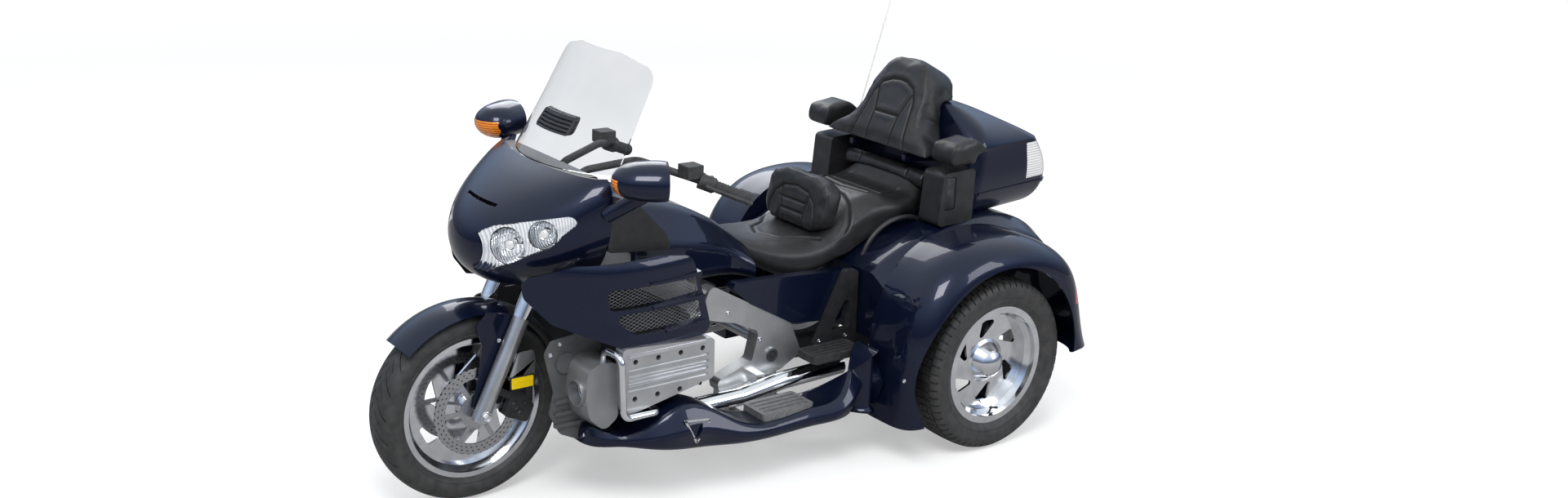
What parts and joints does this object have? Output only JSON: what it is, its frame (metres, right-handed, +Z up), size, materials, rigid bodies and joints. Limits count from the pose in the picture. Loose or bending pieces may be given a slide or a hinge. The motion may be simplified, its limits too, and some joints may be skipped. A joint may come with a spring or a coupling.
{
  "type": "touring motor trike",
  "caption": "Full-dress touring motor trike with faired front fork, twin seat, hollow trunk with tipping lid, and wide fendered rear wheels.",
  "frame": {"origin": "middle of the vehicle's length and width, on the ground", "axes": "+X forward, +Y to the vehicle's left, +Z up"},
  "size_m": [2.63, 1.4, 1.9064],
  "materials": {
    "navy_paint": "gloss",
    "silver": "satin",
    "chrome": "polished",
    "black_plastic": "satin",
    "grey_metal": "matt",
    "seat_leather": "satin",
    "tyre": "matt",
    "polished_rim": "polished",
    "clear_lens": "clear",
    "amber_lens": "ribbed",
    "red_lens": "ribbed",
    "screen": "clear",
    "mirror_glass": "polished",
    "rubber": "matt",
    "disc_steel": "brushed"
  },
  "bodies": {
    "chassis": {"frame_spars": "silver", "engine_block": "grey_metal", "valve_covers": "silver", "front_cowls": "silver", "wheel_shields": "black_plastic", "engine_guards": "chrome", "nose_fairing": "navy_paint", "headlamp_lenses": "clear_lens", "headlamp_bowls": "chrome", "windscreen": "screen", "windscreen_vent": "black_plastic", "mirrors": "navy_paint", "mirror_glasses": "mirror_glass", "signal_lenses": "amber_lens", "side_cowls": "navy_paint", "cowl_meshes": "black_plastic", "inner_fairing": "black_plastic", "tank_cover": "navy_paint", "seat": "seat_leather", "rider_backrest": "seat_leather", "side_covers": "navy_paint", "rear_brackets": "black_plastic", "running_boards": "navy_paint", "floor_mats": "rubber", "passenger_boards": "rubber", "exhausts": "chrome", "rear_axle": "grey_metal", "rear_body": "navy_paint", "tail_lamps": "red_lens", "trunk_base": "navy_paint", "trunk_lamps": "clear_lens", "speaker_pods": "black_plastic", "lumbar_pad": "seat_leather", "antenna": "silver", "plate_bracket": "black_plastic"},
    "steering": {"steering_stem": "black_plastic", "fork_legs": "silver", "fork_covers": "chrome", "front_axle": "grey_metal", "front_calipers": "black_plastic", "front_fender": "navy_paint", "front_rear_guard": "black_plastic", "handlebar": "rubber"},
    "front_wheel": {"front_tyre": "tyre", "front_rim": "polished_rim", "front_discs": "disc_steel"},
    "rear_wheel_left": {"rear_tyre_left": "tyre", "rear_rim_left": "polished_rim"},
    "rear_wheel_right": {"rear_tyre_right": "tyre", "rear_rim_right": "polished_rim"},
    "trunk_lid": {"trunk_lid": "navy_paint", "passenger_backrest": "seat_leather", "armrests": "seat_leather"}
  },
  "joints": [
    {"name": "steering", "type": "hinge", "parent": "chassis", "child": "steering", "pos_m": [0.75106, 0, 0.75794], "axis": [-0.4226, 0, 0.9063], "range_deg": [-30, 30]},
    {"name": "front_wheel_spin", "type": "hinge", "parent": "steering", "child": "front_wheel", "pos_m": [0.995, 0, 0.32], "axis": [0, 1, 0], "continuous": true},
    {"name": "rear_left_spin", "type": "hinge", "parent": "chassis", "child": "rear_wheel_left", "pos_m": [-0.77, 0.56, 0.32], "axis": [0, 1, 0], "continuous": true},
    {"name": "rear_right_spin", "type": "hinge", "parent": "chassis", "child": "rear_wheel_right", "pos_m": [-0.77, -0.56, 0.32], "axis": [0, 1, 0], "continuous": true},
    {"name": "trunk_lid_tip", "type": "hinge", "parent": "chassis", "child": "trunk_lid", "pos_m": [-0.71, 0, 0.985], "axis": [0, 1, 0], "range_deg": [0, 35]}
  ]
}
